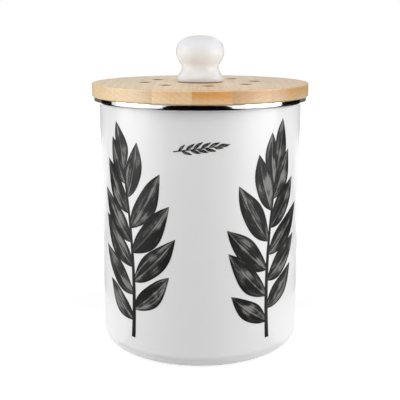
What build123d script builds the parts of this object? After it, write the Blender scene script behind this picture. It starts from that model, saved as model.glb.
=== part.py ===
import os

from build123d import *

os.makedirs("parts", exist_ok=True)

# Compost caddy: an enamelled steel canister with a steel rim, and a vented wooden lid
# that carries a ceramic knob and, underneath, a plug ring, a seal and a charcoal filter.
# Millimetres. The origin is the centre of the foot, +Z is up and the front faces -Y.

# Canister
body_radius = 78.3
body_height = 196.2
shell_wall = 1.0
body_corner = 10.4
foot_width = 10.0
base_lift = 2.0
base_slope = 3.0
base_bend = 2.0
flange_reach = 3.1
flange_bend = 1.2

# Steel rim, crimped over the flange
trim_sheet = 0.5
trim_gap = 0.1
trim_skirt = 6.0
trim_band = 4.0
trim_roll = 1.8
trim_edge = 1.0
trim_lip_gap = 0.2

# Lid panel, glued up from staves that run front to back
lid_overhang = 1.6
lid_thickness = 10.0
lid_top_round = 1.5
lid_bottom_round = 1.0
stave_count = 6
seam_shift = -5.55
vent_count = 8
vent_radius = 4.0
vent_circle_radius = 43.0
vent_start_angle = 8.0
vent_bevel = 0.4

# Plug ring under the panel, with a groove for the seal
plug_gap = 2.2
plug_width = 13.0
plug_depth = 10.0
plug_chamfer = 2.0
groove_depth = 2.0
groove_height = 5.0
groove_cover = 1.7

# Seal
fit_gap = 0.1
seal_lips = 2
seal_lip_rise = 0.6
seal_lip_root = 1.1
seal_lip_tip = 0.5
seal_mouth_gap = 0.3

# Charcoal filter
filter_side_gap = 1.5
filter_gap = 0.3
filter_round = 1.5

# Turning clips that hold the filter, and the screws of the lid's underside
clip_count = 3
clip_start_angle = 90.0
clip_thickness = 1.2
clip_bevel = 0.2
clip_width = 9.0
clip_reach = 14.0
clip_play = 0.1
wood_screw_radius = 1.75
wood_screw_point = 3.0
screw_gap = 0.05
clip_head_radius = 3.7
clip_head_height = 2.2
clip_screw_cover = 1.5
sunk_head_radius = 3.5
ring_screw_count = 3
ring_screw_start_angle = 30.0
ring_screw_cover = 4.0
drive_width = 0.9

# Knob and what holds it
knob_height = 35.8
knob_radius = 18.8
knob_widest = 22.8
knob_waist_radius = 14.4
knob_waist = 11.8
knob_foot_radius = 18.4
knob_foot_edge = 2.9
knob_foot_round = 1.6
knob_seat_width = 4.0
knob_recess = 0.8
crown_fullness = 0.66
shoulder_fullness = 0.49
neck_fullness = 0.164
flare_fullness = 0.5
foot_fullness = 0.25
insert_radius = 4.0
insert_length = 14.0
insert_gap = 0.1
insert_end_gap = 0.5
insert_bevel = 0.4
knob_screw_radius = 1.95
knob_screw_stop = 1.8
knob_screw_point = 0.5
knob_head_radius = 4.0
knob_head_height = 2.8
knob_head_sink = 0.2
knob_hole_gap = 0.3
washer_radius = 4.5
washer_thickness = 1.0
washer_side_gap = 0.5

# Heights and radii that follow from the canister's mouth
trim_top = body_height + trim_sheet
trim_radius = body_radius + flange_reach + trim_edge
mouth_radius = body_radius - shell_wall - trim_gap - trim_sheet
lid_radius = trim_radius + lid_overhang
lid_bottom = trim_top
lid_top = lid_bottom + lid_thickness
plug_radius = mouth_radius - plug_gap
plug_inner = plug_radius - plug_width
plug_bottom = lid_bottom - plug_depth
fixing_radius = plug_radius - plug_width / 2
groove_top = lid_bottom - groove_cover
groove_bottom = groove_top - groove_height
groove_floor = plug_radius - groove_depth
clip_top = plug_bottom - clip_play
clip_bottom = clip_top - clip_thickness
clip_seat = clip_bottom - clip_play


def finish(piece, name):
    """Labels a finished piece and writes its STEP file."""
    piece.label = name
    export_step(piece, f"parts/{name}.step")


def screw(seat, head, head_round, shank_radius, length, point, drive_depth=0):
    """Screw on the Z axis that points up. The heights of its head's outline, from the
    face to the shank, and its length count from the height of its seat."""
    face = seat + head[0][1]
    with BuildPart() as turned:
        with BuildSketch(Plane.XZ) as section:
            with BuildLine():
                Polyline(
                    (0, face),
                    *[(radius, seat + height) for radius, height in head],
                    (shank_radius, seat + length - point),
                    (shank_radius / 4, seat + length),
                    (0, seat + length),
                    close=True,
                )
            make_face()
            if head_round:
                fillet(section.vertices().group_by(Axis.X)[-1].sort_by(Axis.Y)[0], head_round)
        revolve(axis=Axis.Z)
        if drive_depth:
            with BuildSketch(Plane.XY.offset(face)):
                Rectangle(head[0][0], drive_width)
                Rectangle(drive_width, head[0][0])
            extrude(amount=drive_depth, mode=Mode.SUBTRACT)
    return turned.part


def pan_screw(seat, head_radius, head_height, shank_radius, length, point):
    """Pan-head screw, its head hanging below its seat."""
    head = [(head_radius, -head_height), (head_radius, 0), (shank_radius, 0)]
    return screw(seat, head, head_height * 0.6, shank_radius, length, point, head_height / 2)


def sunk_screw(seat, head_radius, shank_radius, length, point, drive_depth=0):
    """Screw with a countersunk head, its face level with its seat."""
    head = [(head_radius, 0), (shank_radius, head_radius - shank_radius)]
    return screw(seat, head, 0, shank_radius, length, point, drive_depth)


# Canister of drawn steel: the base is lifted inside a flat foot ring, and the mouth
# turns out into a flange
base_radius = body_radius - body_corner - foot_width - base_slope
with BuildPart() as body_shell:
    with BuildSketch(Plane.XZ):
        with BuildLine():
            outer_skin = FilletPolyline(
                (0, base_lift),
                (base_radius, base_lift),
                (base_radius + base_slope, 0),
                (body_radius, 0),
                (body_radius, body_height - shell_wall),
                (body_radius + flange_reach, body_height - shell_wall),
                radius=(base_bend, base_bend, body_corner, flange_bend),
            )
            offset(outer_skin, amount=shell_wall, side=Side.LEFT, closed=True)
        make_face()
    revolve(axis=Axis.Z)
finish(body_shell.part, "body_shell")

# Steel rim: a channel that lies on the flange, lines the mouth and rolls in below the flange
with BuildPart() as rim_trim:
    with BuildSketch(Plane.XZ):
        with BuildLine():
            trim_skin = FilletPolyline(
                (mouth_radius, trim_top - trim_skirt),
                (mouth_radius, trim_top),
                (trim_radius, trim_top),
                (trim_radius, trim_top - trim_band),
                (body_radius + trim_lip_gap, trim_top - trim_band),
                radius=(trim_edge, trim_edge, trim_roll),
            )
            offset(trim_skin, amount=trim_sheet, side=Side.LEFT, closed=True)
        make_face()
    revolve(axis=Axis.Z)
finish(rim_trim.part, "rim_trim")

# Countersunk screws that hold the plug ring to the panel, and the hole that each goes in
ring_screw_length = plug_depth + lid_thickness - ring_screw_cover
ring_screw = sunk_screw(
    plug_bottom,
    sunk_head_radius,
    wood_screw_radius,
    ring_screw_length,
    wood_screw_point,
    drive_depth=(sunk_head_radius - wood_screw_radius) / 2,
)
ring_screw_hole = sunk_screw(
    plug_bottom,
    sunk_head_radius + screw_gap,
    wood_screw_radius + screw_gap,
    ring_screw_length + screw_gap,
    wood_screw_point,
)
ring_screw_places = PolarLocations(fixing_radius, ring_screw_count, start_angle=ring_screw_start_angle)
with BuildPart() as plug_ring_screws:
    with ring_screw_places:
        add(ring_screw)
finish(plug_ring_screws.part, "plug_ring_screws")

# Round-head screws on which the filter clips turn, and the blind hole under each
clip_screw_length = plug_bottom - clip_seat + plug_depth - clip_screw_cover
clip_screw = pan_screw(
    clip_seat,
    clip_head_radius,
    clip_head_height,
    wood_screw_radius,
    clip_screw_length,
    wood_screw_point,
)
clip_places = PolarLocations(fixing_radius, clip_count, start_angle=clip_start_angle)
with BuildPart() as clip_screws:
    with clip_places:
        add(clip_screw)
finish(clip_screws.part, "clip_screws")

# Clips cut from steel strip: each turns flat against the plug ring, and its free end
# reaches in under the filter
for number in range(clip_count):
    angle = clip_start_angle + number * 360 / clip_count
    with BuildPart() as filter_clip:
        with BuildSketch(Plane.XY.offset(clip_bottom).rotated((0, 0, angle))):
            with Locations((fixing_radius - (clip_reach - clip_width / 2) / 2, 0)):
                SlotCenterToCenter(clip_reach - clip_width / 2, clip_width)
            with Locations((fixing_radius, 0)):
                Circle(wood_screw_radius + clip_play, mode=Mode.SUBTRACT)
        extrude(amount=clip_thickness)
        levels = filter_clip.edges().group_by(Axis.Z)
        chamfer(levels[0] + levels[-1], clip_bevel)
    finish(filter_clip.part, f"filter_clip_{number + 1}")

# Plug ring of wood: it centres the lid in the mouth, carries the seal in its groove and
# is flush with the screws that hold it
with BuildPart() as plug_ring:
    with BuildSketch(Plane.XZ):
        with BuildLine():
            Polyline(
                (plug_inner, plug_bottom),
                (plug_radius - plug_chamfer, plug_bottom),
                (plug_radius, plug_bottom + plug_chamfer),
                (plug_radius, groove_bottom),
                (groove_floor, groove_bottom),
                (groove_floor, groove_top),
                (plug_radius, groove_top),
                (plug_radius, lid_bottom),
                (plug_inner, lid_bottom),
                close=True,
            )
        make_face()
    revolve(axis=Axis.Z)
    with ring_screw_places:
        add(ring_screw_hole, mode=Mode.SUBTRACT)
    with BuildSketch(Plane.XY.offset(plug_bottom)):
        with clip_places:
            Circle(wood_screw_radius + screw_gap)
    extrude(amount=plug_depth - clip_screw_cover + screw_gap, mode=Mode.SUBTRACT)
finish(plug_ring.part, "plug_ring")

# Seal of soft rubber: a band in the groove, with lips that slope up and out to the mouth
seal_inner = groove_floor + fit_gap
seal_face = plug_radius - fit_gap
seal_bottom = groove_bottom + fit_gap
seal_height = groove_height - 2 * fit_gap
lip_tip_radius = mouth_radius - seal_mouth_gap
lip_pitch = seal_height / seal_lips
seal_outline = [(seal_inner, seal_bottom), (seal_face, seal_bottom)]
for lip in range(seal_lips):
    root = seal_bottom + lip_pitch * (lip + 0.5) - seal_lip_root / 2
    tip = root + seal_lip_rise
    seal_outline += [
        (seal_face, root),
        (lip_tip_radius, tip),
        (lip_tip_radius, tip + seal_lip_tip),
        (seal_face, root + seal_lip_root),
    ]
seal_outline += [(seal_face, seal_bottom + seal_height), (seal_inner, seal_bottom + seal_height)]
with BuildPart() as lid_seal:
    with BuildSketch(Plane.XZ):
        with BuildLine():
            Polyline(*seal_outline, close=True)
        make_face()
    revolve(axis=Axis.Z)
finish(lid_seal.part, "lid_seal")

# Charcoal filter: a thick felt disc that lies under the vents, inside the plug ring
filter_radius = plug_inner - filter_side_gap
filter_height = plug_depth - 2 * filter_gap
with BuildPart() as charcoal_filter:
    with Locations((0, 0, plug_bottom + filter_gap)):
        Cylinder(filter_radius, filter_height, align=(Align.CENTER, Align.CENTER, Align.MIN))
    fillet(charcoal_filter.edges().filter_by(GeomType.CIRCLE), filter_round)
finish(charcoal_filter.part, "charcoal_filter")

# Lid panel before it is parted into staves, with its vents, the screw holes and the
# pocket where the knob's screw and washer sit
pocket_depth = washer_thickness + knob_head_height + knob_head_sink
with BuildPart() as lid_panel:
    with BuildSketch(Plane.XZ) as panel_section:
        with Locations((0, lid_bottom)):
            Rectangle(lid_radius, lid_thickness, align=(Align.MIN, Align.MIN))
        fillet(panel_section.vertices().group_by(Axis.X)[-1].sort_by(Axis.Y)[0], lid_bottom_round)
        fillet(panel_section.vertices().group_by(Axis.Y)[-1].sort_by(Axis.X)[-1], lid_top_round)
    revolve(axis=Axis.Z)
    with BuildSketch(Plane.XY.offset(lid_top)):
        with PolarLocations(vent_circle_radius, vent_count, start_angle=vent_start_angle):
            Circle(vent_radius)
    extrude(amount=-lid_thickness, mode=Mode.SUBTRACT)
    vent_mouths = lid_panel.edges(Select.LAST).filter_by_position(Axis.Z, lid_top, lid_top)
    chamfer(vent_mouths, vent_bevel)
    with ring_screw_places:
        add(ring_screw_hole, mode=Mode.SUBTRACT)
    with BuildSketch(Plane.XY.offset(lid_bottom)):
        Circle(washer_radius + washer_side_gap)
    extrude(amount=pocket_depth, mode=Mode.SUBTRACT)
    with BuildSketch(Plane.XY.offset(lid_bottom)):
        Circle(knob_screw_radius + knob_hole_gap)
    extrude(amount=lid_thickness, mode=Mode.SUBTRACT)

# Staves: the panel parted along its glued seams
stave_width = 2 * lid_radius / stave_count
seams = [seam_shift - lid_radius + step * stave_width for step in range(1, stave_count)]
stave_edges = [-lid_radius, *seams, lid_radius]
for number, (left, right) in enumerate(zip(stave_edges, stave_edges[1:]), start=1):
    with BuildPart() as lid_stave:
        add(lid_panel.part)
        with Locations(((left + right) / 2, 0, (lid_bottom + lid_top) / 2)):
            Box(right - left, 2 * lid_radius, lid_thickness, mode=Mode.INTERSECT)
    finish(lid_stave.part, f"lid_stave_{number}")

# Knob of glazed ceramic: a foot that flares out of a waist, under a full round head. It
# is hollowed under the foot, so that it stands on a ring, and bored for the insert
waist = Vector(knob_waist_radius, lid_top + knob_waist)
widest = Vector(knob_radius, lid_top + knob_widest)
crown = Vector(0, lid_top + knob_height)
foot_edge = Vector(knob_foot_radius, lid_top + knob_foot_edge)
foot_centre = foot_edge - Vector(knob_foot_round, 0)
seat_outer = knob_foot_radius - knob_foot_round
seat_inner = seat_outer - knob_seat_width
recess_top = lid_top + knob_recess
bore_radius = insert_radius + insert_gap
bore_top = recess_top + insert_length + insert_end_gap
flare = Vector(0, (waist.Y - foot_edge.Y) * flare_fullness)
foot_flare = Vector(0, (waist.Y - foot_edge.Y) * foot_fullness)
shoulder = Vector(0, (widest.Y - waist.Y) * shoulder_fullness)
neck = Vector(0, (widest.Y - waist.Y) * neck_fullness)
crown_side = Vector(0, (crown.Y - widest.Y) * crown_fullness)
crown_span = Vector(knob_radius * crown_fullness, 0)
with BuildPart() as knob:
    with BuildSketch(Plane.XZ):
        with BuildLine():
            Polyline(
                crown,
                (0, bore_top),
                (bore_radius, bore_top),
                (bore_radius, recess_top),
                (seat_inner, recess_top),
                (seat_inner, lid_top),
                (seat_outer, lid_top),
            )
            EllipticalCenterArc(
                foot_centre, knob_foot_round, knob_foot_edge, start_angle=-90, arc_size=90
            )
            Bezier(foot_edge, foot_edge + foot_flare, waist - flare, waist)
            Bezier(waist, waist + neck, widest - shoulder, widest)
            Bezier(widest, widest + crown_side, crown + crown_span, crown)
        make_face()
    revolve(axis=Axis.Z)
finish(knob.part, "knob")

# Threaded brass insert, cemented into the knob's bore
with BuildPart(Plane.XY.offset(recess_top)) as knob_insert:
    Cylinder(insert_radius, insert_length, align=(Align.CENTER, Align.CENTER, Align.MIN))
    chamfer(knob_insert.edges().filter_by(GeomType.CIRCLE), insert_bevel)
    Hole(knob_screw_radius + screw_gap)
finish(knob_insert.part, "knob_insert")

# Machine screw that comes up through the panel into the insert, and its washer
washer_bottom = lid_bottom + knob_head_sink + knob_head_height
knob_screw_length = recess_top + insert_length - knob_screw_stop - washer_bottom
knob_screw = pan_screw(
    washer_bottom,
    knob_head_radius,
    knob_head_height,
    knob_screw_radius,
    knob_screw_length,
    knob_screw_point,
)
finish(knob_screw, "knob_screw")

with BuildPart(Plane.XY.offset(washer_bottom)) as knob_washer:
    Cylinder(washer_radius, washer_thickness, align=(Align.CENTER, Align.CENTER, Align.MIN))
    Hole(knob_screw_radius + knob_hole_gap)
finish(knob_washer.part, "knob_washer")
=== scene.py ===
import cmath
import math

import bmesh
import bpy
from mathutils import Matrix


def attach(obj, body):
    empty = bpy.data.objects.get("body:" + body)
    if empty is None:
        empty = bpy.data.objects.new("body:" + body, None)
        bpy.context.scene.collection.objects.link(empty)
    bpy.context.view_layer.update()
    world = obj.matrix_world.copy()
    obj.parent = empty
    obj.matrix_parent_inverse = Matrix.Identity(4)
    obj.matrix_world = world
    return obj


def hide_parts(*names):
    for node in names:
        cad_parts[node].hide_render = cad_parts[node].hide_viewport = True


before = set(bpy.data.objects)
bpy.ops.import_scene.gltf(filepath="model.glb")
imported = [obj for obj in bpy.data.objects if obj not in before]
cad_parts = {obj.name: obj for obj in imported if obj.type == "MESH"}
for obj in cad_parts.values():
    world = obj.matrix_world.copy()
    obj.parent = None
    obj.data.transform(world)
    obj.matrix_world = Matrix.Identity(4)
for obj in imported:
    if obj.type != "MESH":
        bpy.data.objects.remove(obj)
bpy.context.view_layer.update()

# ---------------------------------------------------------------------------------------------
# Canister: one sheet of steel drawn into a cup, its base lifted inside a flat foot ring and its
# mouth turned out into a flange. White vitreous enamel is fired over all of it, inside too.
# ---------------------------------------------------------------------------------------------
canister_radius = 0.0783
flange_height = 0.1962
flange_radius = 0.0814
sheet_wall = 0.001
base_radius = 0.0549
base_lift = 0.002
foot_inner = 0.0579
foot_rounding = 0.0104


def rounded(*corners, rest=0.0003):
    """The points of a line through corners (radius, height, rounding). Every rounding is an arc
    with a short straight rest before and after it, which keeps the flat faces shaded flat."""
    line = []
    for place, (radius, height, rounding) in enumerate(corners):
        corner = complex(radius, height)
        if not rounding:
            line.append(corner)
            continue
        before = complex(*corners[place - 1][:2]) - corner
        after = complex(*corners[(place + 1) % len(corners)][:2]) - corner
        before /= abs(before)
        after /= abs(after)
        half = abs(cmath.phase(after / before)) / 2
        reach = rounding / math.tan(half)
        centre = corner + (before + after) / abs(before + after) * rounding / math.sin(half)
        start = corner + before * reach - centre
        sweep = cmath.phase((corner + after * reach - centre) / start)
        steps = math.ceil(abs(sweep) / 0.2)
        line.append(corner + before * (reach + rest))
        line += [centre + start * cmath.exp(1j * sweep * step / steps) for step in range(steps + 1)]
        line.append(corner + after * (reach + rest))
    return line


def sheet(line, wall):
    """The closed section of a sheet of that thickness whose one skin is the line."""
    other_skin = []
    for place, point in enumerate(line):
        ends = [near for near in (place - 1, place) if 0 <= near < len(line) - 1]
        sides = [1j * (line[near + 1] - line[near]) / abs(line[near + 1] - line[near]) for near in ends]
        mitre = sides[0] + sides[-1]
        other_skin.append(point + 2 * wall * mitre / abs(mitre) ** 2)
    return line + other_skin[::-1]


def directions(steps):
    """That many directions round the Z axis, each of length 1."""
    return [cmath.rect(1, 2 * math.pi * step / steps) for step in range(steps)]


def corner_ring(shape, spots, height):
    """New corners of a bmesh at those spots, x + y, and at one height."""
    return [shape.verts.new((spot.real, spot.imag, height)) for spot in spots]


def join_rings(shape, rings):
    """Faces from every ring of corners to the next, and from the last back to the first."""
    for low, high in zip(rings, rings[1:] + rings[:1]):
        for step in range(len(low)):
            after = (step + 1) % len(low)
            corners = dict.fromkeys((low[step], low[after], high[after], high[step]))
            if len(corners) > 2:
                shape.faces.new(corners)


def shaded(mesh, sharp=32):
    """Shades a mesh smooth, but for the edges that turn by more than sharp degrees."""
    mesh.shade_smooth()
    mesh.set_sharp_from_angle(angle=math.radians(sharp))
    return mesh


def smoothed(name, shape, sharp=32):
    """The bmesh as a mesh, its faces outwards, smooth but for its sharp edges."""
    bmesh.ops.recalc_face_normals(shape, faces=shape.faces)
    mesh = bpy.data.meshes.new(name)
    shape.to_mesh(mesh)
    shape.free()
    return shaded(mesh, sharp)


def turned(name, section, steps=192):
    """A closed section, radius + height, turned about the Z axis into a smooth closed mesh. A
    point on the axis becomes one corner."""
    shape = bmesh.new()
    rings = []
    for point in section:
        if point.real < 1e-7:
            rings.append(corner_ring(shape, [0], point.imag) * steps)
        else:
            rings.append(corner_ring(shape, [way * point.real for way in directions(steps)], point.imag))
    join_rings(shape, rings)
    return smoothed(name, shape)


def added(name, data):
    """A new object of the scene that holds that mesh, lamp or camera."""
    thing = bpy.data.objects.new(name, data)
    bpy.context.scene.collection.objects.link(thing)
    return thing


def fit(name, mesh, body, slot, finish, *nodes):
    """Puts a finished mesh on the object as a piece: the body that it moves with, its finish
    and the CAD nodes that it stands for, which it hides. The slot is not used."""
    piece = added(name, mesh)
    mesh.materials.clear()
    mesh.materials.append(finish)
    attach(piece, body)
    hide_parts(*nodes)
    return piece


class Wire:
    """What leaves an output of a node, in a material or a Geometry Nodes tree. Sums with it add
    Math nodes, or Vector Math nodes where it is a vector or a colour; node() adds any other."""

    def __init__(self, socket):
        self.socket = socket
        self.tree = socket.id_data

    def node(self, kind, settings={}, sockets={}, out=0):
        """Adds a node to this tree: its settings, then its sockets by name or number, then out."""
        node = self.tree.nodes.new(kind)
        for setting, value in settings.items():
            setattr(node, setting, value)
        for key, value in sockets.items():
            socket = self.pick(node.inputs, key)
            for source in value if isinstance(value, list) else [value]:
                if isinstance(source, Wire):
                    self.tree.links.new(source.socket, socket)
                else:
                    socket.default_value = source
        return Wire(self.pick(node.outputs, out))

    @staticmethod
    def pick(sockets, key):
        """The socket with that name or number among those that the node's settings leave in use."""
        used = [socket for socket in sockets if socket.enabled]
        if isinstance(key, int):
            return used[key]
        return next(socket for socket in used if socket.name == key)

    def other(self, name):
        """Another output of the same node."""
        return Wire(self.pick(self.socket.node.outputs, name))

    def math(self, operation, *values):
        """A Math node on this value and the others."""
        return self.node("ShaderNodeMath", {"operation": operation}, dict(enumerate((self, *values))))

    def sum(self, operation, first, second):
        """first and second through a Math node, or a Vector Math node where either has three parts."""
        wires = [value for value in (first, second) if isinstance(value, Wire)]
        threefold = any(wire.socket.type in ("VECTOR", "RGBA") for wire in wires)
        if not threefold and not isinstance(first, tuple) and not isinstance(second, tuple):
            return self.node("ShaderNodeMath", {"operation": operation}, {0: first, 1: second})
        parts = [(value,) * 3 if isinstance(value, (int, float)) else value for value in (first, second)]
        return self.node("ShaderNodeVectorMath", {"operation": operation}, dict(enumerate(parts)))

    def __add__(self, other):
        return self.sum("ADD", self, other)

    def __radd__(self, other):
        return self.sum("ADD", other, self)

    def __sub__(self, other):
        return self.sum("SUBTRACT", self, other)

    def __rsub__(self, other):
        return self.sum("SUBTRACT", other, self)

    def __mul__(self, other):
        return self.sum("MULTIPLY", self, other)

    def __rmul__(self, other):
        return self.sum("MULTIPLY", other, self)

    def __truediv__(self, other):
        return self.sum("DIVIDE", self, other)

    def parts(self):
        """Its three parts, x, y and z."""
        x = self.node("ShaderNodeSeparateXYZ", {}, {0: self}, "X")
        return x, x.other("Y"), x.other("Z")

    def vector(self, **sides):
        """The vector with those sides X, Y and Z, and 0 for one that isn't named."""
        return self.node("ShaderNodeCombineXYZ", {}, sides)

    def attribute(self, name, out="Fac"):
        """What a mesh has under that name, in a material."""
        return self.node("ShaderNodeAttribute", {"attribute_name": name}, {}, out)

    def marked(self, name, value, kind="FLOAT", domain="POINT"):
        """This mesh with the value kept on it under that name."""
        kept = {"Geometry": self, "Name": name, "Value": value}
        return self.node("GeometryNodeStoreNamedAttribute", {"data_type": kind, "domain": domain}, kept)

    def boolean(self, operation, meshes):
        """An exact Mesh Boolean node in this tree, with those meshes on its sockets."""
        return self.node("GeometryNodeMeshBoolean", {"operation": operation, "solver": "EXACT"}, meshes)

    def between(self, low, high):
        """0 where this is low or beyond, 1 where it is high or beyond, and smooth between."""
        reach = {"Value": self, "From Min": low, "From Max": high}
        return self.node("ShaderNodeMapRange", {"interpolation_type": "SMOOTHSTEP"}, reach)

    def blend(self, first, second):
        """The colour first where this is 0, and second where it is 1."""
        ends = {"Factor": self, "A": first, "B": second}
        return self.node("ShaderNodeMix", {"data_type": "RGBA"}, ends)

    def noise(self, scale, detail=2.0):
        """Noise over this place, with scale grains to the metre."""
        return self.node("ShaderNodeTexNoise", {}, {"Vector": self, "Scale": scale, "Detail": detail})

    def relief(self, depth, strength=1.0):
        """The normal of a surface that this height, from 0 to 1, lifts by up to depth metres."""
        return self.node("ShaderNodeBump", {}, {"Height": self, "Distance": depth, "Strength": strength})


def new_finish(name):
    """A material, and the wire of its object coordinates."""
    finish = bpy.data.materials.new(name)
    finish.use_nodes = True
    return finish, Wire(finish.node_tree.nodes.new("ShaderNodeTexCoord").outputs["Object"])


def surface(finish, sockets):
    """Sets the sockets of a material's main shader to values, or links wires to them."""
    shader = finish.node_tree.nodes["Principled BSDF"]
    for name, value in sockets.items():
        if isinstance(value, Wire):
            finish.node_tree.links.new(value.socket, shader.inputs[name])
        else:
            shader.inputs[name].default_value = value


enamel, place = new_finish("white_enamel")
ripple = place.noise(26, 1.0)
peel = place.noise(420, 2.0)
mottle = place.noise(120, 3.0)
white = mottle.between(0.3, 0.75).blend((0.763, 0.763, 0.760, 1), (0.756, 0.758, 0.756, 1))
surface(
    enamel,
    {
        "Base Color": white,
        "Roughness": 0.225 + mottle * 0.03,
        "Normal": (ripple * 0.6 + peel * 0.10).relief(0.00003, 0.5),
        "IOR": 1.52,
    },
)

canister_skin = rounded(
    (0, base_lift, 0),
    (base_radius, base_lift, 0.002),
    (foot_inner, 0, 0.002),
    (canister_radius, 0, foot_rounding),
    (canister_radius, flange_height - sheet_wall, 0.0012),
    (flange_radius, flange_height - sheet_wall, 0),
)
canister = turned("canister", sheet(canister_skin, sheet_wall), 256)
fit("canister", canister, "caddy", "enamel", enamel, "body_shell")

# ---------------------------------------------------------------------------------------------
# Print: ceramic colour laid on the white enamel as a transfer and fired in. A frieze of leafy
# sprays in charcoal washes goes round the canister, with a small twig at the front.
# ---------------------------------------------------------------------------------------------
print_film = 0.00010
print_sink = 0.00006
stem_mark = 1000


def new_tree(name, **inputs):
    """A Geometry Nodes tree, and the wires of its mesh and of its inputs, listed by their kind."""
    tree = bpy.data.node_groups.new(name, "GeometryNodeTree")
    tree.interface.new_socket("Mesh", in_out="OUTPUT", socket_type="NodeSocketGeometry")
    for kind, labels in {"Geometry": ["Mesh"], **inputs}.items():
        for label in labels:
            tree.interface.new_socket(label, in_out="INPUT", socket_type="NodeSocket" + kind)
    entry = tree.nodes.new("NodeGroupInput")
    return {socket.name: Wire(socket) for socket in entry.outputs if socket.name}


def end_tree(mesh, material):
    """Ends a tree with its instances made real and its material set, and returns it."""
    real = mesh.node("GeometryNodeRealizeInstances", {}, {0: mesh})
    painted = real.node("GeometryNodeSetMaterial", {}, {"Geometry": real, "Material": material})
    leaving = mesh.tree.nodes.new("NodeGroupOutput")
    mesh.tree.links.new(painted.socket, leaving.inputs[0])
    return mesh.tree


def grown(tree, mesh, sizes):
    """The plain mesh that a tree makes of a mesh, its inputs set to those sizes."""
    holder = added(tree.name, mesh)
    modifier = holder.modifiers.new(tree.name, "NODES")
    modifier.node_group = tree
    for item in tree.interface.items_tree:
        if item.in_out == "INPUT" and item.name in sizes:
            modifier[item.identifier] = sizes[item.name]
    view = bpy.context.evaluated_depsgraph_get()
    ready = holder.evaluated_get(view)
    made = bpy.data.meshes.new_from_object(ready, preserve_all_data_layers=True, depsgraph=view)
    bpy.data.objects.remove(holder)
    return made


spray_size = new_tree(
    "Printed sprays",
    Int=["Sprays", "Leaves", "Seed"],
    Float=[
        *("First Angle", "Angle Step", "Foot Shift", "Foot Height", "Tilt", "Stem Length", "Stem Width"),
        *("Lean", "Leaf Length", "Leaf Width", "Spread", "Curl", "Radius", "Film", "Sink"),
    ],
    Material=["Ink"],
)
start = spray_size["Mesh"]


def strips(count, along, across, mark):
    """That many unit strips with a bottom and a top, each point marked with its place on its strip
    and with the number of its strip, counted from mark."""
    cells = {"Size": (1, 1, 1), "Vertices X": along, "Vertices Y": across, "Vertices Z": 2}
    strip = start.node("GeometryNodeMeshCube", {}, cells, "Mesh")
    x, y, z = start.node("GeometryNodeInputPosition").parts()
    strip = strip.marked("print_spot", start.vector(X=x + 0.5, Y=y * 2, Z=z + 0.5), "FLOAT_VECTOR")
    points = start.node("GeometryNodePoints", {}, {"Count": count})
    copies = start.node("GeometryNodeInstanceOnPoints", {}, {"Points": points, "Instance": strip})
    copies = copies.marked("print_strip", start.node("GeometryNodeInputIndex") + mark, domain="INSTANCE")
    return start.node("GeometryNodeRealizeInstances", {}, {0: copies})


def chance(number, low, high, seed):
    """A random value of its own for each number, between low and high."""
    draw = {"Min": low, "Max": high, "ID": number, "Seed": spray_size["Seed"] + seed}
    return start.node("FunctionNodeRandomValue", {"data_type": "FLOAT"}, draw)


def stem_line(spray, height):
    """Where the stem of a spray is at that share of its length: along and beside the stem's foot,
    and the angle at which it grows there."""
    middle = (spray_size["Sprays"] - 1) * 0.5
    lean = spray_size["Lean"] * (middle - spray) / middle.math("MAXIMUM", 1)
    lean = lean + chance(spray, -0.05, 0.05, 7)
    beside = spray_size["Stem Length"] * lean * (height.math("POWER", 2) - height * 0.55)
    slope = (lean * (height * 2 - 0.55)).math("ARCTANGENT")
    return spray_size["Stem Length"] * height, beside, slope


def wrapped(mesh, spray, along, beside, level):
    """Turns the sprays to their tilt, sets them round the canister and gives the film its level."""
    tilt = spray_size["Tilt"]
    right = along * tilt.math("COSINE") - beside * tilt.math("SINE") + spray_size["Foot Shift"]
    height = along * tilt.math("SINE") + beside * tilt.math("COSINE") + spray_size["Foot Height"]
    angle = spray_size["First Angle"] + spray * spray_size["Angle Step"] + right / spray_size["Radius"]
    reach = spray_size["Radius"] - spray_size["Sink"] + level
    spot = start.vector(X=reach * angle.math("SINE"), Y=reach * angle.math("COSINE") * -1, Z=height)
    return start.node("GeometryNodeSetPosition", {}, {"Geometry": mesh, "Position": spot})


spot = start.node("GeometryNodeInputNamedAttribute", {"data_type": "FLOAT_VECTOR"}, {"Name": "print_spot"})
along, across, level = spot.parts()
number = start.node("GeometryNodeInputNamedAttribute", {"data_type": "FLOAT"}, {"Name": "print_strip"})

# A leaf: it springs from its stem, turned to one side, and its tip curls back up.
leaves = strips(spray_size["Sprays"] * spray_size["Leaves"], 21, 7, 0)
spray = ((number + 0.5) / spray_size["Leaves"]).math("FLOOR")
order = number - spray * spray_size["Leaves"]
side = 1 - 2 * (order + 0.5).math("MODULO", 2).math("FLOOR")
node_height = (0.10 + 0.9 * order / (spray_size["Leaves"] - 1)) + chance(number, -0.012, 0.012, 1)
node_height = node_height.math("MINIMUM", 1.0)
stem_along, stem_beside, growth = stem_line(spray, node_height)
splay = (1.02 - node_height * node_height).math("SQRT") * side * spray_size["Spread"]
turn = growth + splay + chance(number, -0.09, 0.09, 2)
fullness = 0.74 + node_height * (1 - node_height)
length = spray_size["Leaf Length"] * fullness * chance(number, 0.92, 1.08, 3)
taper = along.math("POWER", 0.9) * (1 - along).math("POWER", 1.05) * 3.75
width = taper * spray_size["Leaf Width"] * 0.5 * fullness + 0.00012
wave = 1 + 0.10 * (along * 6.3 + chance(number, 0, 6, 4)).math("SINE") * across
leaf_across = across * width * wave - side * spray_size["Curl"] * length * along * along
leaf_along = length * along
layer = (number + 0.5).math("MODULO", 3).math("FLOOR")
leaf_level = level * (spray_size["Film"] * (1.0 + 0.35 * layer) + spray_size["Sink"])
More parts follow.
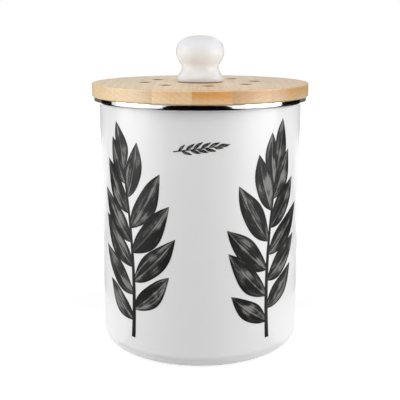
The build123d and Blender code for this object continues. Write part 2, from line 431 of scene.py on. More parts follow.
leaves = wrapped(
    leaves,
    spray,
    stem_along + leaf_along * turn.math("COSINE") - leaf_across * turn.math("SINE"),
    stem_beside + leaf_along * turn.math("SINE") + leaf_across * turn.math("COSINE"),
    leaf_level,
)

# A stem: one long strip that narrows to its tip and lies over the leaves.
stems = strips(spray_size["Sprays"], 61, 3, stem_mark)
stem_of = number - stem_mark
stem_spot, stem_side, stem_growth = stem_line(stem_of, along)
stem_across = across * spray_size["Stem Width"] * (0.5 - 0.3 * along)
stem_level = level * (spray_size["Film"] * 2.1 + spray_size["Sink"])
stems = wrapped(
    stems,
    stem_of,
    stem_spot - stem_across * stem_growth.math("SINE"),
    stem_side + stem_across * stem_growth.math("COSINE"),
    stem_level,
)
printed = start.node("GeometryNodeJoinGeometry", {}, {0: [leaves, stems]})
spray_tree = end_tree(printed, spray_size["Ink"])

ink, place = new_finish("charcoal_ceramic_print")
along, across = place.attribute("print_spot", "Vector").parts()[:2]
strip = place.attribute("print_strip")
edge = across.math("ABSOLUTE")
wash = place.vector(X=along * 1.7, Y=across * 0.6, Z=strip * 3.7).noise(1.6, 2.0)
brush = place.vector(X=along * 0.9 + edge * 0.35, Y=across * 4, Z=strip * 1.9).noise(2.4, 3.0)
grain = place.noise(900, 2.0)
veins = ((along * 9 - edge * 2.6).math("FRACT") - 0.5).math("ABSOLUTE")
vein = (0.08 - veins).between(0, 0.06) * edge.between(0.02, 0.15) * edge.between(0.98, 0.7)
midrib = edge.between(0.12, 0.05)
stalk = strip.math("GREATER_THAN", stem_mark - 1)
pale = (0.38 + (wash - 0.5) * 3.2 + (brush - 0.5) * 2.0 + (grain - 0.5) * 0.4).between(0, 1)
pale = pale * (1 - edge.between(0.66, 0.92) * 0.8)
pale = (pale + vein * 0.14 + midrib * 0.6 * (1 - stalk)).math("MINIMUM", 1.0)
pale = pale * (1 - stalk * 0.55)
washes = place.node("ShaderNodeValToRGB", {}, {"Fac": pale})
ramp = washes.socket.node.color_ramp
ramp.elements[0].color = (0.0055, 0.006, 0.0055, 1)
ramp.elements[1].color = (0.21, 0.205, 0.20, 1)
ramp.elements.new(0.4).color = (0.022, 0.0225, 0.0215, 1)
ramp.elements.new(0.75).color = (0.085, 0.084, 0.082, 1)
surface(
    ink,
    {
        "Base Color": washes,
        "Roughness": 0.36 + grain * 0.08,
        "Normal": grain.relief(0.00001, 0.5),
        "IOR": 1.5,
        "Specular IOR Level": 0.2,
    },
)

print_sizes = {
    "Radius": canister_radius,
    "Film": print_film,
    "Sink": print_sink,
    "Leaves": 12,
    "Curl": 0.15,
    "Ink": ink,
}
frieze_sizes = {
    "Sprays": 5,
    "First Angle": math.radians(40),
    "Angle Step": math.radians(70),
    "Foot Shift": 0.0,
    "Foot Height": 0.019,
    "Tilt": math.radians(90),
    "Stem Length": 0.128,
    "Stem Width": 0.0036,
    "Lean": -0.16,
    "Leaf Length": 0.048,
    "Leaf Width": 0.0185,
    "Spread": math.radians(56),
    "Seed": 5,
}
twig_sizes = {
    "Sprays": 1,
    "First Angle": 0.0,
    "Angle Step": 0.0,
    "Foot Shift": -0.019,
    "Foot Height": 0.1635,
    "Tilt": math.radians(7),
    "Stem Length": 0.034,
    "Stem Width": 0.0008,
    "Lean": 0.0,
    "Leaf Length": 0.0085,
    "Leaf Width": 0.0021,
    "Spread": math.radians(40),
    "Seed": 12,
}
empty_start = bpy.data.meshes.new("print_start")
for name, sizes in (("leaf_frieze", frieze_sizes), ("front_twig", twig_sizes)):
    shape = bmesh.new()
    shape.from_mesh(grown(spray_tree, empty_start, print_sizes | sizes))
    fit(name, smoothed(name, shape, 40), "caddy", "enamel", ink)

# ---------------------------------------------------------------------------------------------
# Rim: a channel rolled from thin stainless strip, slipped over the flange, crimped in below it
# and polished to a mirror, with the faint lines of the polishing wheel round it.
# ---------------------------------------------------------------------------------------------
rim_top = 0.1967
rim_radius = 0.0824
rim_sheet = 0.0005
rim_band = 0.0044
rim_crown = 0.00007
mouth_radius = 0.0767
mouth_lining = 0.006


def hypot(x, y):
    """The wire of how long a line is that goes x along and y across."""
    return (x * x + y * y).math("SQRT")


stainless, place = new_finish("polished_stainless")
x, y, z = place.parts()
lines = place.vector(X=hypot(x, y), Y=y.math("ARCTAN2", x) * 0.0006, Z=z).noise(9000, 1.0)
haze = place.noise(45, 3.0)
surface(
    stainless,
    {
        "Metallic": 1.0,
        "Base Color": haze.blend((0.74, 0.74, 0.745, 1), (0.68, 0.685, 0.69, 1)),
        "Roughness": 0.05 + haze * 0.05,
        "Normal": lines.relief(0.000002, 0.35),
    },
)

rim_skin = rounded(
    (mouth_radius, rim_top - mouth_lining, 0),
    (mouth_radius, rim_top, 0.001),
    (rim_radius - rim_crown, rim_top, 0.0007),
    (rim_radius, rim_top - 0.0016, 0.007),
    (rim_radius, rim_top - rim_band, 0.0017),
    (canister_radius + 0.0002, rim_top - rim_band, 0),
)
rim = turned("steel_rim", sheet(rim_skin, -rim_sheet), 256)
fit("steel_rim", rim, "caddy", "steel_trim", stainless, "rim_trim")

# ---------------------------------------------------------------------------------------------
# Lid panel: beech staves glued edge to edge, front to back, then turned to a disc with eased
# edges, drilled with a ring of vents, sanded flush and coated with satin lacquer.
# ---------------------------------------------------------------------------------------------
lid_radius = 0.084
lid_bottom = rim_top
lid_top = 0.2067
stave_width = 0.028
stave_block = 0.03
seam_shift = -0.00555
vent_radius = 0.004
vent_circle = 0.043
vent_start = math.radians(8)
vents = 8

# Each board's year rings lie about its heart. They darken the wood, as its fibres, flecks, end
# grain and seams do, and it is most orange near the top of the panel's edge. The top face is
# darker as painted shade, each board's darkness is partly painted shade, and the vents are
# scorched, their walls darkened with painted shade as well.
beech, place = new_finish("lacquered_beech")
board = place.attribute("board", "Vector")
orange, heart_x, heart_z = board.parts()
x, y, z = place.parts()
sway = (place * (14, 2.2, 14) + board * 60).noise(1, 2.0)
away = hypot(x - heart_x, z - heart_z)
year = ((away + sway * 0.007) / 0.0031).math("FRACT")
late = year.between(0.35, 0.95) * year.between(1.0, 0.95)
fibres = ((place + board) * (1, 0.028, 1)).noise(1150, 3.0)
flecks = ((place + board) * (1, 0.16, 0.6)).noise(1250, 1.0).between(0.635, 0.70)
cloud = ((place + board * 3) * (1, 0.25, 1)).noise(55, 2.0)
ahead, up = place.other("Normal").parts()[1:]
end_grain = ahead.math("ABSOLUTE").between(0.45, 0.95)
top_face = up.between(0.35, 0.75)
tint = 0.26 + 0.74 * (z + (cloud - 0.5) * 0.006).between(0.1955, 0.2062)
tint = tint - 0.72 * z.between(0.2052, 0.2064)
wood = (orange * tint + (cloud - 0.5) * 0.36).between(0.0, 1.0)
wood = wood.blend((0.93, 0.715, 0.445, 1), (0.86, 0.40, 0.12, 1))
shade = 1 - late * (0.07 - 0.02 * end_grain) - (fibres - 0.5) * 0.22 - flecks * (0.15 - 0.04 * end_grain)
# Painted shade: the top face of the panel is darkened.
shade = shade - end_grain * 0.11 - top_face * 0.28
# Partly painted shade: each board's darkness, kept mostly off the top face.
dark_and_shade = place.attribute("darkness") * (1 - top_face * 0.75)
seam = (((x - seam_shift) / stave_width + 0.5).math("FRACT") - 0.5).math("ABSOLUTE") * stave_width
lid_only = z.math("GREATER_THAN", lid_bottom - 0.00002)
glue = seam.between(0.00030, 0.00010) * lid_only
step = 2 * math.pi / vents
fold = (((y.math("ARCTAN2", x) - vent_start) / step + 0.5).math("FRACT") - 0.5) * step
girth = hypot(x, y)
vent_reach = hypot(girth * fold.math("SINE"), girth * fold.math("COSINE") - vent_circle)
# Drill scorch round each vent, and painted shade on the vent walls: both darken and warm the wood.
scorch_and_shade = vent_reach.between(0.0059, 0.0048) * lid_only
shade = shade * (1 - glue * 0.10) * (1 - scorch_and_shade * 0.56) * (1 - dark_and_shade)
warm = shade.vector(X=shade, Y=shade.math("POWER", 1.12), Z=shade.math("POWER", 1.35))
singed_and_shaded = scorch_and_shade.blend((1, 1, 1, 1), (1.0, 0.66, 0.36, 1))
surface(
    beech,
    {
        "Base Color": wood * warm * singed_and_shaded,
        "Roughness": 0.36 + fibres * 0.12 + flecks * 0.08,
        "Normal": (fibres * 0.5 - flecks * 0.4 - glue * 0.5).relief(0.00004, 0.4),
        "IOR": 1.48,
        "Coat Weight": (0.45 - 0.20 * top_face) * (1 - scorch_and_shade * 0.7),
        "Coat Roughness": 0.30,
    },
)


def ringed(piece, sizes, count, height, turn):
    """Copies of a mesh, each turned by that vector, on the circle that a tree's inputs give."""
    start = sizes["Mesh"]
    angle = sizes["First Angle"] + start.node("GeometryNodeInputIndex") * 2 * math.pi / count
    radius = sizes["Circle Radius"]
    spot = start.vector(X=radius * angle.math("COSINE"), Y=radius * angle.math("SINE"), Z=height)
    points = start.node("GeometryNodePoints", {}, {"Count": count, "Position": spot})
    copies = {"Points": points, "Instance": piece, "Rotation": turn}
    return start.node("GeometryNodeInstanceOnPoints", {}, copies)


def block(size, spot):
    """A box of that size about that spot, both of them vectors of a tree."""
    box = size.node("GeometryNodeMeshCube", {}, {"Size": size}, "Mesh")
    return box.node("GeometryNodeTransform", {}, {"Geometry": box, "Translation": spot})


# Drills: cylinders with a flared mouth, which a tree sets on a circle and takes out of the wood.
drill_size = new_tree(
    "Ring of drilled holes",
    Int=["Holes"],
    Float=["Circle Radius", "First Angle", "Hole Radius", "Bevel", "Mouth Height", "Depth", "Upside Down"],
    Material=["Wood"],
)
start = drill_size["Mesh"]
overshoot = 0.0006
bit_sizes = {"Vertices": 64, "Side Segments": 2, "Radius": drill_size["Hole Radius"], "Depth": 2}
bit = start.node("GeometryNodeMeshCylinder", {}, bit_sizes, "Mesh")
x, y, z = start.node("GeometryNodeInputPosition").parts()
lip = z.math("GREATER_THAN", 0.5)
low = z.math("LESS_THAN", -0.5)
flare = 1 + lip * (drill_size["Bevel"] + overshoot) / drill_size["Hole Radius"]
height = lip * overshoot - low * drill_size["Depth"] - (1 - lip) * (1 - low) * drill_size["Bevel"]
bit_spot = start.vector(X=x * flare, Y=y * flare, Z=height)
bit = start.node("GeometryNodeSetPosition", {}, {"Geometry": bit, "Position": bit_spot})
tip = start.vector(X=drill_size["Upside Down"] * math.pi)
bits = ringed(bit, drill_size, drill_size["Holes"], drill_size["Mouth Height"], tip)
bits = start.node("GeometryNodeRealizeInstances", {}, {0: bits})
drilled = start.boolean("DIFFERENCE", {"Mesh 1": start, "Mesh 2": bits})
drill_tree = end_tree(drilled, drill_size["Wood"])

# A stave: what a block between two seams leaves of the panel, marked with its board's looks:
# its orange, its heart and its darkness, which is partly painted shade.
stave_size = new_tree(
    "Parted stave",
    Float=["Left", "Right", "Reach", "Height", "Darkness"],
    Vector=["Board"],
    Material=["Wood"],
)
start = stave_size["Mesh"]
span = stave_size["Right"] - stave_size["Left"]
part = block(
    start.vector(X=span, Y=stave_size["Reach"] * 2, Z=stave_block),
    start.vector(X=stave_size["Left"] + span / 2, Z=stave_size["Height"]),
)
parted = start.boolean("INTERSECT", {"Mesh": [start, part]})
parted = parted.marked("board", stave_size["Board"], "FLOAT_VECTOR")
parted = parted.marked("darkness", stave_size["Darkness"])
stave_tree = end_tree(parted, stave_size["Wood"])

panel_section = rounded(
    (0, lid_bottom, 0),
    (lid_radius, lid_bottom, 0.001),
    (lid_radius, lid_top, 0.0008),
    (0, lid_top, 0),
)
blank = turned("lid_blank", panel_section, 256)
holes = {
    "Holes": vents,
    "Circle Radius": vent_circle,
    "First Angle": vent_start,
    "Hole Radius": vent_radius,
    "Bevel": 0.0004,
    "Mouth Height": lid_top,
    "Depth": 0.012,
    "Upside Down": 0.0,
    "Wood": beech,
}
screw_hole = holes | {
    "Holes": 1,
    "Circle Radius": 0.0,
    "First Angle": 0.0,
    "Hole Radius": 0.00225,
    "Bevel": 0.00001,
}
pocket = screw_hole | {
    "Hole Radius": 0.005,
    "Mouth Height": lid_bottom,
    "Depth": 0.004,
    "Upside Down": 1.0,
}
panel = blank
for sizes in (holes, screw_hole, pocket):
    panel = grown(drill_tree, panel, sizes)

seams = [seam_shift + stave_width * step for step in range(-2, 3)]
stave_sides = [-lid_radius - 0.001, *seams, lid_radius + 0.001]

# Of each board: how orange it is, where its heart lies, x and z, and how dark it is, which is
# partly painted shade, largest on the outer staves where the side lamps light the panel most.
boards = [
    ((0.18, -0.095, 0.150), 0.20),
    ((0.28, -0.020, 0.275), 0.23),
    ((0.46, -0.060, 0.130), 0.0),
    ((0.98, 0.030, 0.262), 0.07),
    ((0.62, 0.065, 0.120), 0.31),
    ((0.60, 0.020, 0.290), 0.41),
]
stave = {"Reach": lid_radius * 1.1, "Height": lid_top, "Wood": beech}
for number, (left, right, (board, dark_and_shade)) in enumerate(zip(stave_sides, stave_sides[1:], boards), start=1):
    own = {"Left": left, "Right": right, "Board": board, "Darkness": dark_and_shade}
    mesh = shaded(grown(stave_tree, panel, stave | own))
    fit(f"stave_{number}", mesh, "lid", "beech", beech, f"lid_stave_{number}")

# ---------------------------------------------------------------------------------------------
# Plug ring: a ring of the same wood under the panel, which centres the lid in the mouth. It has
# a groove for the seal and is held by three countersunk wood screws.
# ---------------------------------------------------------------------------------------------
plug_radius = 0.0745
plug_inner = 0.0615
plug_bottom = 0.1867
groove_floor = 0.0725
groove_low = 0.190
groove_high = 0.195
fixing_radius = 0.068

ring = turned(
    "plug_ring",
    rounded(
        (plug_inner, plug_bottom, 0.0004),
        (plug_radius - 0.002, plug_bottom, 0.0004),
        (plug_radius, plug_bottom + 0.002, 0.0004),
        (plug_radius, groove_low, 0),
        (groove_floor, groove_low, 0),
        (groove_floor, groove_high, 0),
        (plug_radius, groove_high, 0),
        (plug_radius, lid_bottom, 0),
        (plug_inner, lid_bottom, 0),
    ),
)
ring_holes = {
    "Holes": 3,
    "Circle Radius": fixing_radius,
    "First Angle": math.radians(30),
    "Hole Radius": 0.0018,
    "Bevel": 0.00175,
    "Mouth Height": plug_bottom,
    "Depth": 0.012,
    "Upside Down": 1.0,
    "Wood": beech,
}
clip_holes = {"First Angle": math.radians(90), "Bevel": 0.0001, "Depth": 0.0086}
ring = grown(drill_tree, ring, ring_holes)
ring = shaded(grown(drill_tree, ring, ring_holes | clip_holes))
fit("plug_ring", ring, "lid", "beech", beech, "plug_ring")

# ---------------------------------------------------------------------------------------------
# Screws under the lid, of zinc-plated steel: three countersunk ones hold the plug ring, and the
# filter clips turn on three with pan heads. Each has a cross recess and a thread in the wood.
# ---------------------------------------------------------------------------------------------
screw_radius = 0.00175
screw_tip = 0.00044
sunk_head = 0.0035
pan_head = 0.0037
pan_height = 0.0022
clip_seat = 0.1853

zinc, place = new_finish("zinc_plated_steel")
tarnish = place.noise(600, 3.0)
surface(
    zinc,
    {
        "Metallic": 1.0,
        "Base Color": tarnish.blend((0.70, 0.70, 0.67, 1), (0.55, 0.56, 0.56, 1)),
        "Roughness": 0.24 + tarnish * 0.16,
        "Normal": place.noise(4200, 2.0).relief(0.00001, 0.5),
    },
)

# A ring of screws: each gets a cross recess in its head and is driven in to a turn of its own.
screw_size = new_tree(
    "Ring of screws",
    Int=["Screws", "Seed"],
    Float=["Circle Radius", "First Angle", "Face Height", "Recess Length", "Recess Width", "Recess Depth"],
    Material=["Plating"],
)
start = screw_size["Mesh"]
recess_spot = start.vector(Z=screw_size["Face Height"])
long, wide, deep = (screw_size[f"Recess {side}"] for side in ("Length", "Width", "Depth"))
slots = [block(start.vector(X=x, Y=y, Z=deep * 2), recess_spot) for x, y in ((long, wide), (wide, long))]
screw = start.boolean("DIFFERENCE", {"Mesh 1": start, "Mesh 2": slots})
number = start.node("GeometryNodeInputIndex")
quarter_turn = {"Min": 0.0, "Max": 1.57, "ID": number, "Seed": screw_size["Seed"]}
driven = start.node("FunctionNodeRandomValue", {"data_type": "FLOAT"}, quarter_turn)
screws = ringed(screw, screw_size, screw_size["Screws"], 0.0, start.vector(Z=driven))
screw_tree = end_tree(screws, screw_size["Plating"])


def screw_blank(name, tip, *head):
    """A screw that stands on its head: the corners of the head, then a shank up to its tip."""
    shank = ((screw_radius, tip - 0.003, 0), (screw_tip, tip, 0), (0, tip, 0))
    return turned(name, rounded(*head, *shank, rest=0.00003), 48)


sunk_screw = screw_blank(
    "sunk_screw",
    plug_bottom + 0.016,
    (0, plug_bottom, 0),
    (sunk_head, plug_bottom, 0.00015),
    (screw_radius, plug_bottom + sunk_head - screw_radius, 0),
)
pan_screw = screw_blank(
    "pan_screw",
    clip_seat + 0.0099,
    (0, clip_seat - pan_height, 0),
    (pan_head, clip_seat - pan_height, 0.00132),
    (pan_head, clip_seat, 0.0001),
    (screw_radius, clip_seat, 0),
)
ring_screws = {
    "Screws": 3,
    "Circle Radius": fixing_radius,
    "First Angle": math.radians(30),
    "Face Height": plug_bottom,
    "Recess Length": sunk_head,
    "Recess Width": 0.0009,
    "Recess Depth": 0.000875,
    "Seed": 3,
    "Plating": zinc,
}
clip_screws = ring_screws | {
    "First Angle": math.radians(90),
    "Face Height": clip_seat - pan_height,
    "Recess Length": pan_head,
    "Recess Depth": 0.0011,
}
for name, screw, sizes, node in (
    ("ring_screws", sunk_screw, ring_screws, "plug_ring_screws"),
    ("clip_screws", pan_screw, clip_screws, "clip_screws"),
):
    fit(name, shaded(grown(screw_tree, screw, sizes)), "lid", "zinc_steel", zinc, node)

# ---------------------------------------------------------------------------------------------
# Seal: a silicone band stretched into the plug ring's groove, moulded with two thin lips that
# slope up and out to the mouth.
# ---------------------------------------------------------------------------------------------
silicone, place = new_finish("pale_silicone")
dust = place.noise(1600, 2.0)
cast = place.noise(60, 2.0)
surface(
    silicone,
    {
        "Base Color": cast.blend((0.84, 0.84, 0.83, 1), (0.78, 0.785, 0.78, 1)),
        "Roughness": 0.50 + dust * 0.15,
        "Normal": dust.relief(0.00001, 0.6),
        "Subsurface Weight": 0.15,
        "Subsurface Scale": 0.002,
    },
)
lip_reach = 0.0764
seal_face = 0.0744
seal_inner = 0.0726
seal_low = 0.1901
seal_high = 0.1949
lip_roots = (0.19075, 0.19315)
seal_corners = [(seal_inner, seal_low, 0.0003), (seal_face, seal_low, 0.0003)]
for root in lip_roots:
    seal_corners += [
        (seal_face, root, 0.0002),
        (lip_reach, root + 0.0006, 0.00018),
        (lip_reach, root + 0.0011, 0.00018),
        (seal_face, root + 0.0011, 0.0002),
    ]
seal_corners += [(seal_face, seal_high, 0.0003), (seal_inner, seal_high, 0.0003)]
seal = turned("seal", rounded(*seal_corners, rest=0.00002))
fit("seal", seal, "lid", "silicone", silicone, "lid_seal")

# ---------------------------------------------------------------------------------------------
# Charcoal filter: a thick disc of needled felt with charcoal in it, die-cut and a little
# rounded and bulged at its edge, which lies under the vents inside the plug ring.
# ---------------------------------------------------------------------------------------------
felt, place = new_finish("charcoal_felt")
tangle = place.noise(1500, 4.0)
tufts = place.noise(260, 3.0)
grit = place.node("ShaderNodeTexVoronoi", {}, {"Vector": place, "Scale": 1300.0}, "Distance")
surface(
    felt,
    {
        "Base Color": tangle.between(0.3, 0.7).blend((0.018, 0.018, 0.020, 1), (0.062, 0.062, 0.066, 1)),
        "Roughness": 0.82 + tufts * 0.15,
        "Normal": (tangle * 0.6 + tufts * 0.8 + grit * 0.4).relief(0.00035, 0.8),
        "Sheen Weight": 0.25,
        "Sheen Roughness": 0.6,
    },
)
filter_radius = 0.06
filter_bottom = 0.187
filter_top = 0.1964
filter_section = rounded(
    (0, filter_bottom, 0),
    (filter_radius, filter_bottom, 0.0015),
    (filter_radius, filter_top, 0.0015),
    (0, filter_top, 0),
)
fit("filter", turned("filter", filter_section), "lid", "charcoal_felt", felt, "charcoal_filter")

# ---------------------------------------------------------------------------------------------
# Filter clips: three tongues cut from spring steel strip with rounded ends, tumbled so that no
# edge is sharp. Each turns on its screw against the plug ring.
# ---------------------------------------------------------------------------------------------
clip_bottom = 0.1854
clip_top = 0.1866
clip_half = 0.0045
clip_far = 0.0095
clip_hole = 0.00185
clip_ease = 0.0002

spring, place = new_finish("brushed_spring_steel")
strokes = (place * (1, 1, 40)).noise(900, 3.0)
stain = place.noise(240, 3.0)
surface(
    spring,
    {
        "Metallic": 1.0,
        "Base Color": stain.blend((0.64, 0.64, 0.65, 1), (0.54, 0.54, 0.55, 1)),
        "Roughness": 0.26 + strokes * 0.14,
        "Normal": strokes.relief(0.000008, 0.5),
    },
)


def clip_reach(way, half):
    """How far a clip's edge, half its width from the middle, is from the screw that way: both of
    its ends are round, one about the screw and one at the far end of the tongue."""
    if way.real >= 0:
        return half
    reach = half / max(abs(way.imag), 1e-9)
    if reach * -way.real > clip_far:
        reach = -way.real * clip_far + math.sqrt((way.real * clip_far) ** 2 - clip_far**2 + half**2)
    return reach


clip_layers = (
    (clip_ease, clip_bottom),
    (0, clip_bottom + clip_ease),
    (0, clip_top - clip_ease),
    (clip_ease, clip_top),
)
for number in range(3):
    shape = bmesh.new()
    heading = cmath.rect(1, math.radians(90 + 120 * number))
    outers, inners = [], []
    for edge_in, height in clip_layers:
        outer = [way * clip_reach(way, clip_half - edge_in) for way in directions(96)]
        inner = [way * (clip_hole + edge_in / 2) for way in directions(96)]
        for rings, line in ((outers, outer), (inners, inner)):
            rings.append(corner_ring(shape, [heading * (fixing_radius + spot) for spot in line], height))
    join_rings(shape, outers + inners[::-1])
    name = f"clip_{number + 1}"
    fit(name, smoothed(name, shape), name, "spring_steel", spring, f"filter_{name}")

# ---------------------------------------------------------------------------------------------
# Knob: slip-cast ceramic with a clear gloss over white glaze, a full head above a waist and a
# flared foot that stands on a ring. A brass insert, a screw and a washer hold it to the panel.
# ---------------------------------------------------------------------------------------------
knob_base = complex(0, lid_top)


def bent(start, pull, push, end, steps=18):
    """Points on the curve from start, where it heads for pull, to end, where it leaves push."""
    line = []
    for step in range(1, steps + 1):
        share = step / steps
        rest = 1 - share
        near = rest**3 * start + 3 * rest**2 * share * pull
        line.append(near + 3 * rest * share**2 * push + share**3 * end)
    return line


# The clay is bare where the knob stands, its dark brown partly a painted contact shadow. Up to
# the waist the glaze is near white with a clear coat, which is painted light, and over the head
# it is greyer and bluer towards the top, which is painted shade.
glaze, place = new_finish("glazed_ceramic")
pool = place.noise(55, 2.0)
skin = place.noise(300, 2.0)
knob_height = place.parts()[2] - lid_top
# Bare clay where the knob stands; its dark brown is also a painted contact shadow.
bare_and_shaded = knob_height.between(0.0010, 0.0006)
# Painted light: the waist and foot are near white; the clear coat lies on them too.
painted_light_and_coat = (knob_height + (pool - 0.5) * 0.003).between(0.0155, 0.0105)
# Painted shade: the head grows greyer and bluer towards its top.
head = knob_height.between(0.019, 0.031).blend((0.705, 0.70, 0.705, 1), (0.60, 0.605, 0.635, 1))
glazed = painted_light_and_coat.blend(head, (0.99, 0.99, 0.99, 1))
surface(
    glaze,
    {
        "Base Color": bare_and_shaded.blend(glazed, (0.34, 0.24, 0.16, 1)),
        "Roughness": 0.18 + skin * 0.05 + bare_and_shaded * 0.5,
        "Normal": (pool + skin * 0.08).relief(0.00003, 0.5),
        "IOR": 1.52,
        "Specular IOR Level": 0.12,
        "Coat Weight": painted_light_and_coat * (1 - bare_and_shaded) * 0.3,
        "Coat Roughness": 0.14,
        "Subsurface Weight": 1.0,
        "Subsurface Radius": (1.0, 1.0, 1.0),
        "Subsurface Scale": 0.04,
    },
)

# The knob's section, radius + height over the panel: its bore, the hollow under its foot, the
# round edge of the foot, then the curves of the foot, the waist and the head.
turns = [math.pi * step / 16 for step in range(9)]
foot_edge = [0.0168 + 0.0016 * math.sin(turn) + 0.0029j * (1 - math.cos(turn)) for turn in turns]
knob_outline = [
    0.0153j,
    0.0041 + 0.0153j,
    0.0041 + 0.0008j,
    0.0125 + 0.0008j,
    0.0128 + 0.0005j,
    0.0128 + 0.0001j,
    0.0129 + 0j,
    *foot_edge,
    *bent(0.0184 + 0.0029j, 0.0184 + 0.005125j, 0.0144 + 0.00735j, 0.0144 + 0.0118j),
    *bent(0.0144 + 0.0118j, 0.0144 + 0.0136j, 0.0188 + 0.01741j, 0.0188 + 0.0228j),
    *bent(0.0188 + 0.0228j, 0.0188 + 0.03138j, 0.012408 + 0.0358j, 0.0358j, 24),
]
knob = turned("knob", [knob_base + point for point in knob_outline], 128)
fit("knob", knob, "lid", "glazed_ceramic", glaze, "knob")

brass, place = new_finish("machined_brass")
cuts = (place * (1, 1, 60)).noise(800, 2.0)
surface(
    brass,
    {
        "Metallic": 1.0,
        "Base Color": cuts.blend((0.74, 0.55, 0.26, 1), (0.62, 0.44, 0.20, 1)),
        "Roughness": 0.22 + cuts * 0.14,
        "Normal": cuts.relief(0.00001, 0.5),
    },
)
for node, finish in (("knob_insert", brass), ("knob_screw", zinc), ("knob_washer", zinc)):
    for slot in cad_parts[node].material_slots:
        slot.material = finish

# ---------------------------------------------------------------------------------------------
# Studio: a white floor, a large soft lamp to each side and weaker ones over the front and behind,
# black to white cards, standing and on the floor, that draw the steel's bands, and the camera.
# ---------------------------------------------------------------------------------------------
aim_height = 0.12
card_lift = 0.0003


def lamp(name, power, width, height, azimuth, elevation, distance, shines=True):
    """A soft lamp that faces the object, azimuth counted from the camera's side."""
    light = bpy.data.lights.new(name, "AREA")
    light.shape = "RECTANGLE"
    light.size = width
    light.size_y = height
    light.energy = power
    stand = added(name, light)
    azimuth, elevation = math.radians(azimuth), math.radians(elevation)
    away = cmath.rect(distance * math.cos(elevation), azimuth - math.pi / 2)
    stand.location = (away.real, away.imag, aim_height + distance * math.sin(elevation))
    stand.rotation_euler = (math.pi / 2 - elevation, 0, azimuth)
    stand.visible_camera = False
    stand.visible_glossy = shines


lamp("right_lamp", 12.0, 0.95, 0.80, 69, 16, 1.15)
lamp("left_lamp", 11.4, 0.90, 0.80, -75, 16, 1.15)
lamp("top_lamp", 5.4, 1.20, 0.50, 0, 66, 1.15)
lamp("back_lamp", 3.5, 1.60, 0.40, 180, 10, 1.30, shines=False)

# The cards are matt black and glow at their level, the white ones brighter than white, so that they light
# the object and show in its mirrors as lamps do; those that lie on the floor show only in mirrors, as
# painted reflections.
card_matt = {"Base Color": (0.004, 0.004, 0.004, 1), "Roughness": 1.0, "Specular IOR Level": 0.0}
cards = {}
for name, level in (("black_card", 0.0), ("grey_card", 0.16), ("pale_card", 0.45), ("white_card", 1.3)):
    cards[name], place = new_finish(name)
    surface(cards[name], card_matt | {"Emission Color": (1, 1, 1, 1), "Emission Strength": level})


def scenery(name, shape, finish):
    """The bmesh as an object of the studio with that finish."""
    mesh = bpy.data.meshes.new(name)
    shape.to_mesh(mesh)
    shape.free()
    mesh.materials.append(finish)
    return added(name, mesh)


def flag(name, rows, card="black_card", lies=False):
    """A card through rows of points. The camera never sees one, and one that lies on the floor is
    seen only in mirrors: it neither shades the object nor lights it."""
    shape = bmesh.new()
    rows = [[shape.verts.new(point) for point in row] for row in rows]
    for low, high in zip(rows, rows[1:]):
        for step in range(len(low) - 1):
            shape.faces.new((low[step], low[step + 1], high[step + 1], high[step]))
    piece = scenery(name, shape, cards[card])
    piece.visible_camera = False
    piece.visible_diffuse = not lies
    piece.visible_shadow = not lies


def arc(radius, first, last, height=card_lift, steps=60):
    """Points round the object from one azimuth to another."""
    turns = [math.radians(first + (last - first) * step / steps - 90) for step in range(steps + 1)]
    return [(radius * math.cos(turn), radius * math.sin(turn), height) for turn in turns]


front_rows = ((-39, 33, 0.0), (-38, 32, 0.09), (-33, 27, 0.20), (-28, 22, 0.45), (-22, 16, 0.75))
flag("front_flag", [arc(1.15, *row) for row in front_rows])
flag("white_flag_right", (arc(1.14, 32, 47, 0.0), arc(1.14, 32, 47, 0.5)), "white_card")
flag("white_flag_left", (arc(1.14, -38, -54, 0.0), arc(1.14, -38, -54, 0.5)), "white_card")
flag("rear_flag_right", (arc(1.2, 93, 131, 0.0), arc(1.2, 93, 131, 0.6)))
flag("rear_flag_left", (arc(1.2, -104, -127, 0.0), arc(1.2, -104, -127, 0.6)))
flag("grey_flag_right", (arc(1.2, 131, 168, 0.0), arc(1.2, 131, 168, 0.6)), "grey_card")
flag("grey_flag_left", (arc(1.2, -127, -165, 0.0), arc(1.2, -127, -165, 0.6)), "grey_card")
flag("near_floor_flag", (arc(0.08, -62, 62), arc(0.34, -62, 62)), lies=True)
flag("side_floor_flag_right", (arc(0.16, 62, 140), arc(0.34, 62, 140)), "pale_card", lies=True)
flag("side_floor_flag_left", (arc(0.16, -62, -140), arc(0.34, -62, -140)), "pale_card", lies=True)
flag("front_floor_flag", (arc(0.34, -56, 50), arc(0.50, -43, 37), arc(1.15, -38, 32)), lies=True)
flag("rear_floor_flag_right", (arc(0.34, 74, 140), arc(0.60, 87, 136), arc(1.15, 92, 131)), lies=True)
flag("rear_floor_flag_left", (arc(0.34, -85, -140), arc(0.60, -98, -133), arc(1.15, -103, -127)), lies=True)


def seen_by(rays):
    """1 where the camera looks straight, by a mirror or through glass, and 0 where light is cast."""
    mirrored = rays.math("MAXIMUM", rays.other("Is Glossy Ray"))
    return mirrored.math("MAXIMUM", rays.other("Is Transmission Ray"))


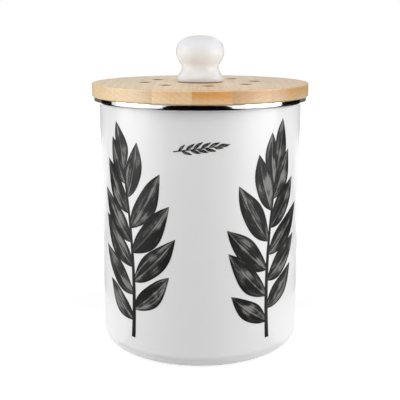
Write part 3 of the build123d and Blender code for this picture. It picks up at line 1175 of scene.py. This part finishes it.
# The floor glows white to the camera and in mirrors, is a matt grey to the light that falls on
# it, and is clear from below.
floor_paint, place = new_finish("white_sweep")
x, y, z = place.parts()
rays = place.node("ShaderNodeLightPath", {}, {}, "Is Camera Ray")
level = 0.80 + 0.20 * hypot(x, y).between(0.14, 0.5)
matt = place.node("ShaderNodeBsdfDiffuse", {}, {"Color": (0.55, 0.55, 0.55, 1)})
faint = place.node("ShaderNodeBsdfDiffuse", {}, {"Color": (0.30, 0.30, 0.30, 1)})
glow = place.node("ShaderNodeEmission", {}, {"Color": (1, 1, 1, 1), "Strength": level})
lit = place.node("ShaderNodeAddShader", {}, {0: faint, 1: glow})
clear = place.node("ShaderNodeBsdfTransparent")
below = place.node("ShaderNodeNewGeometry", {}, {}, "Backfacing")
paint = place.node("ShaderNodeMixShader", {}, {0: seen_by(rays), 1: matt, 2: lit})
paint = place.node("ShaderNodeMixShader", {}, {0: below * rays, 1: paint, 2: clear})
paint_out = floor_paint.node_tree.nodes["Material Output"]
floor_paint.node_tree.links.new(paint.socket, paint_out.inputs["Surface"])
shape = bmesh.new()
bmesh.ops.create_grid(shape, x_segments=2, y_segments=2, size=8)
bmesh.ops.translate(shape, verts=shape.verts, vec=(0, 0, -0.00005))
floor = scenery("floor", shape, floor_paint)

world = bpy.data.worlds.new("studio")
bpy.context.scene.world = world
world.use_nodes = True
sky = world.node_tree.nodes["Background"]
rays = Wire(world.node_tree.nodes.new("ShaderNodeLightPath").outputs["Is Camera Ray"])
sky.inputs["Color"].default_value = (1, 1, 1, 1)
world.node_tree.links.new((0.12 + 0.88 * seen_by(rays)).socket, sky.inputs["Strength"])

lens = bpy.data.cameras.new("camera")
lens.sensor_width = 36
lens.lens = 73.23
lens.shift_x = 0.0006
lens.shift_y = -0.0008
camera = added("camera", lens)
camera.location = (-0.00027, -0.6408, 0.2525)
camera.rotation_euler = (math.radians(90 - 12.335), 0, 0)
bpy.context.scene.camera = camera
bpy.context.scene.view_settings.view_transform = "Standard"
